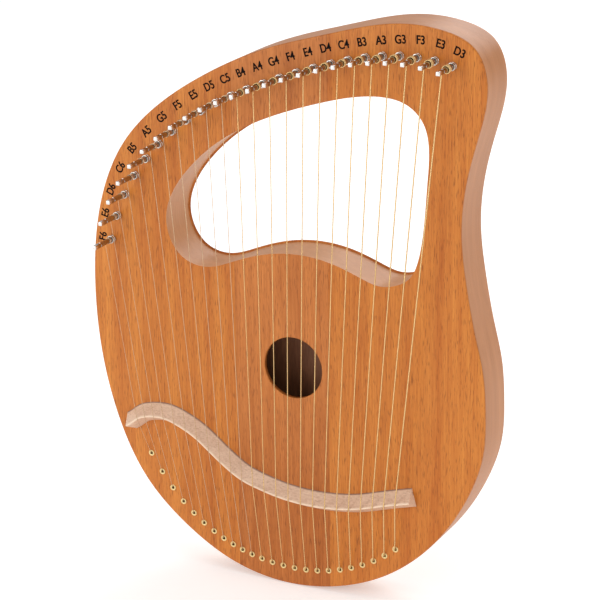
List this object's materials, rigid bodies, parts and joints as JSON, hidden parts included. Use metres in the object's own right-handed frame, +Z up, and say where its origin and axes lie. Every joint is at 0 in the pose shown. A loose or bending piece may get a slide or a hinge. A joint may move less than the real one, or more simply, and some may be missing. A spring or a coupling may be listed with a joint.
{
  "type": "lyre harp",
  "caption": "Hand-held lyre harp with a curved hollow wooden body, a kidney-shaped hand opening, an S-shaped bridge and tuning pins along the top",
  "frame": {"origin": "centre of the flat back face, at the middle of the body's width and height", "axes": "+X to the right seen from the front, +Y out of the back face, +Z up along the grain; the strings and pins are on the -Y side"},
  "size_m": [0.4082, 0.082, 0.5598],
  "materials": {
    "front_wood": "satin lacquered mahogany, grain upright",
    "rim_wood": "satin lacquered side wood",
    "back_wood": "satin lacquered mahogany",
    "block_wood": "bare maple",
    "brace_wood": "bare spruce",
    "bridge_wood": "oiled pale beech",
    "nickel": "polished nickel",
    "pin_steel": "nickel plated steel",
    "eyelet_brass": "polished brass",
    "plain_string": "bright drawn wire",
    "wound_string": "bronze winding"
  },
  "bodies": {
    "harp_body": {"body_rim": "rim_wood", "soundboard": "front_wood", "back_plate": "back_wood", "pin_block": "block_wood", "tail_block": "block_wood", "bridge": "bridge_wood", "pin_bushings": "nickel", "string_eyelets": "eyelet_brass", "rear_ferrules": "eyelet_brass", "string_ball_ends": "eyelet_brass", "soundboard_braces": "brace_wood", "back_brace": "brace_wood", "string_F6": "plain_string", "string_E6": "plain_string", "string_D6": "plain_string", "string_C6": "plain_string", "string_B5": "plain_string", "string_A5": "plain_string", "string_G5": "plain_string", "string_F5": "plain_string", "string_E5": "plain_string", "string_D5": "plain_string", "string_C5": "plain_string", "string_B4": "wound_string", "string_A4": "wound_string", "string_G4": "wound_string", "string_F4": "wound_string", "string_E4": "wound_string", "string_D4": "wound_string", "string_C4": "wound_string", "string_B3": "wound_string", "string_A3": "wound_string", "string_G3": "wound_string", "string_F3": "wound_string", "string_E3": "wound_string", "string_D3": "wound_string"},
    "pin_F6": {"tuning_pin_F6": "pin_steel"},
    "pin_E6": {"tuning_pin_E6": "pin_steel"},
    "pin_D6": {"tuning_pin_D6": "pin_steel"},
    "pin_C6": {"tuning_pin_C6": "pin_steel"},
    "pin_B5": {"tuning_pin_B5": "pin_steel"},
    "pin_A5": {"tuning_pin_A5": "pin_steel"},
    "pin_G5": {"tuning_pin_G5": "pin_steel"},
    "pin_F5": {"tuning_pin_F5": "pin_steel"},
    "pin_E5": {"tuning_pin_E5": "pin_steel"},
    "pin_D5": {"tuning_pin_D5": "pin_steel"},
    "pin_C5": {"tuning_pin_C5": "pin_steel"},
    "pin_B4": {"tuning_pin_B4": "pin_steel"},
    "pin_A4": {"tuning_pin_A4": "pin_steel"},
    "pin_G4": {"tuning_pin_G4": "pin_steel"},
    "pin_F4": {"tuning_pin_F4": "pin_steel"},
    "pin_E4": {"tuning_pin_E4": "pin_steel"},
    "pin_D4": {"tuning_pin_D4": "pin_steel"},
    "pin_C4": {"tuning_pin_C4": "pin_steel"},
    "pin_B3": {"tuning_pin_B3": "pin_steel"},
    "pin_A3": {"tuning_pin_A3": "pin_steel"},
    "pin_G3": {"tuning_pin_G3": "pin_steel"},
    "pin_F3": {"tuning_pin_F3": "pin_steel"},
    "pin_E3": {"tuning_pin_E3": "pin_steel"},
    "pin_D3": {"tuning_pin_D3": "pin_steel"}
  },
  "joints": [
    {"name": "turn_F6", "type": "hinge", "parent": "harp_body", "child": "pin_F6", "pos_m": [-0.182, -0.048, 0.0445], "axis": [0, 1, 0], "continuous": true},
    {"name": "turn_E6", "type": "hinge", "parent": "harp_body", "child": "pin_E6", "pos_m": [-0.17465, -0.048, 0.06908], "axis": [0, 1, 0], "continuous": true},
    {"name": "turn_D6", "type": "hinge", "parent": "harp_body", "child": "pin_D6", "pos_m": [-0.16525, -0.048, 0.09118], "axis": [0, 1, 0], "continuous": true},
    {"name": "turn_C6", "type": "hinge", "parent": "harp_body", "child": "pin_C6", "pos_m": [-0.154, -0.048, 0.111], "axis": [0, 1, 0], "continuous": true},
    {"name": "turn_B5", "type": "hinge", "parent": "harp_body", "child": "pin_B5", "pos_m": [-0.14114, -0.048, 0.12871], "axis": [0, 1, 0], "continuous": true},
    {"name": "turn_A5", "type": "hinge", "parent": "harp_body", "child": "pin_A5", "pos_m": [-0.12702, -0.048, 0.14446], "axis": [0, 1, 0], "continuous": true},
    {"name": "turn_G5", "type": "hinge", "parent": "harp_body", "child": "pin_G5", "pos_m": [-0.11201, -0.048, 0.15834], "axis": [0, 1, 0], "continuous": true},
    {"name": "turn_F5", "type": "hinge", "parent": "harp_body", "child": "pin_F5", "pos_m": [-0.0965, -0.048, 0.1705], "axis": [0, 1, 0], "continuous": true},
    {"name": "turn_E5", "type": "hinge", "parent": "harp_body", "child": "pin_E5", "pos_m": [-0.08079, -0.048, 0.18107], "axis": [0, 1, 0], "continuous": true},
    {"name": "turn_D5", "type": "hinge", "parent": "harp_body", "child": "pin_D5", "pos_m": [-0.06492, -0.048, 0.19032], "axis": [0, 1, 0], "continuous": true},
    {"name": "turn_C5", "type": "hinge", "parent": "harp_body", "child": "pin_C5", "pos_m": [-0.04885, -0.048, 0.19853], "axis": [0, 1, 0], "continuous": true},
    {"name": "turn_B4", "type": "hinge", "parent": "harp_body", "child": "pin_B4", "pos_m": [-0.03256, -0.048, 0.206], "axis": [0, 1, 0], "continuous": true},
    {"name": "turn_A4", "type": "hinge", "parent": "harp_body", "child": "pin_A4", "pos_m": [-0.016, -0.048, 0.213], "axis": [0, 1, 0], "continuous": true},
    {"name": "turn_G4", "type": "hinge", "parent": "harp_body", "child": "pin_G4", "pos_m": [0.00083, -0.048, 0.21976], "axis": [0, 1, 0], "continuous": true},
    {"name": "turn_F4", "type": "hinge", "parent": "harp_body", "child": "pin_F4", "pos_m": [0.01784, -0.048, 0.22623], "axis": [0, 1, 0], "continuous": true},
    {"name": "turn_E4", "type": "hinge", "parent": "harp_body", "child": "pin_E4", "pos_m": [0.03495, -0.048, 0.23225], "axis": [0, 1, 0], "continuous": true},
    {"name": "turn_D4", "type": "hinge", "parent": "harp_body", "child": "pin_D4", "pos_m": [0.05203, -0.048, 0.23772], "axis": [0, 1, 0], "continuous": true},
    {"name": "turn_C4", "type": "hinge", "parent": "harp_body", "child": "pin_C4", "pos_m": [0.069, -0.048, 0.2425], "axis": [0, 1, 0], "continuous": true},
    {"name": "turn_B3", "type": "hinge", "parent": "harp_body", "child": "pin_B3", "pos_m": [0.08577, -0.048, 0.24644], "axis": [0, 1, 0], "continuous": true},
    {"name": "turn_A3", "type": "hinge", "parent": "harp_body", "child": "pin_A3", "pos_m": [0.10241, -0.048, 0.24935], "axis": [0, 1, 0], "continuous": true},
    {"name": "turn_G3", "type": "hinge", "parent": "harp_body", "child": "pin_G3", "pos_m": [0.119, -0.048, 0.251], "axis": [0, 1, 0], "continuous": true},
    {"name": "turn_F3", "type": "hinge", "parent": "harp_body", "child": "pin_F3", "pos_m": [0.13562, -0.048, 0.2512], "axis": [0, 1, 0], "continuous": true},
    {"name": "turn_E3", "type": "hinge", "parent": "harp_body", "child": "pin_E3", "pos_m": [0.15229, -0.048, 0.24976], "axis": [0, 1, 0], "continuous": true},
    {"name": "turn_D3", "type": "hinge", "parent": "harp_body", "child": "pin_D3", "pos_m": [0.169, -0.048, 0.2465], "axis": [0, 1, 0], "continuous": true}
  ]
}
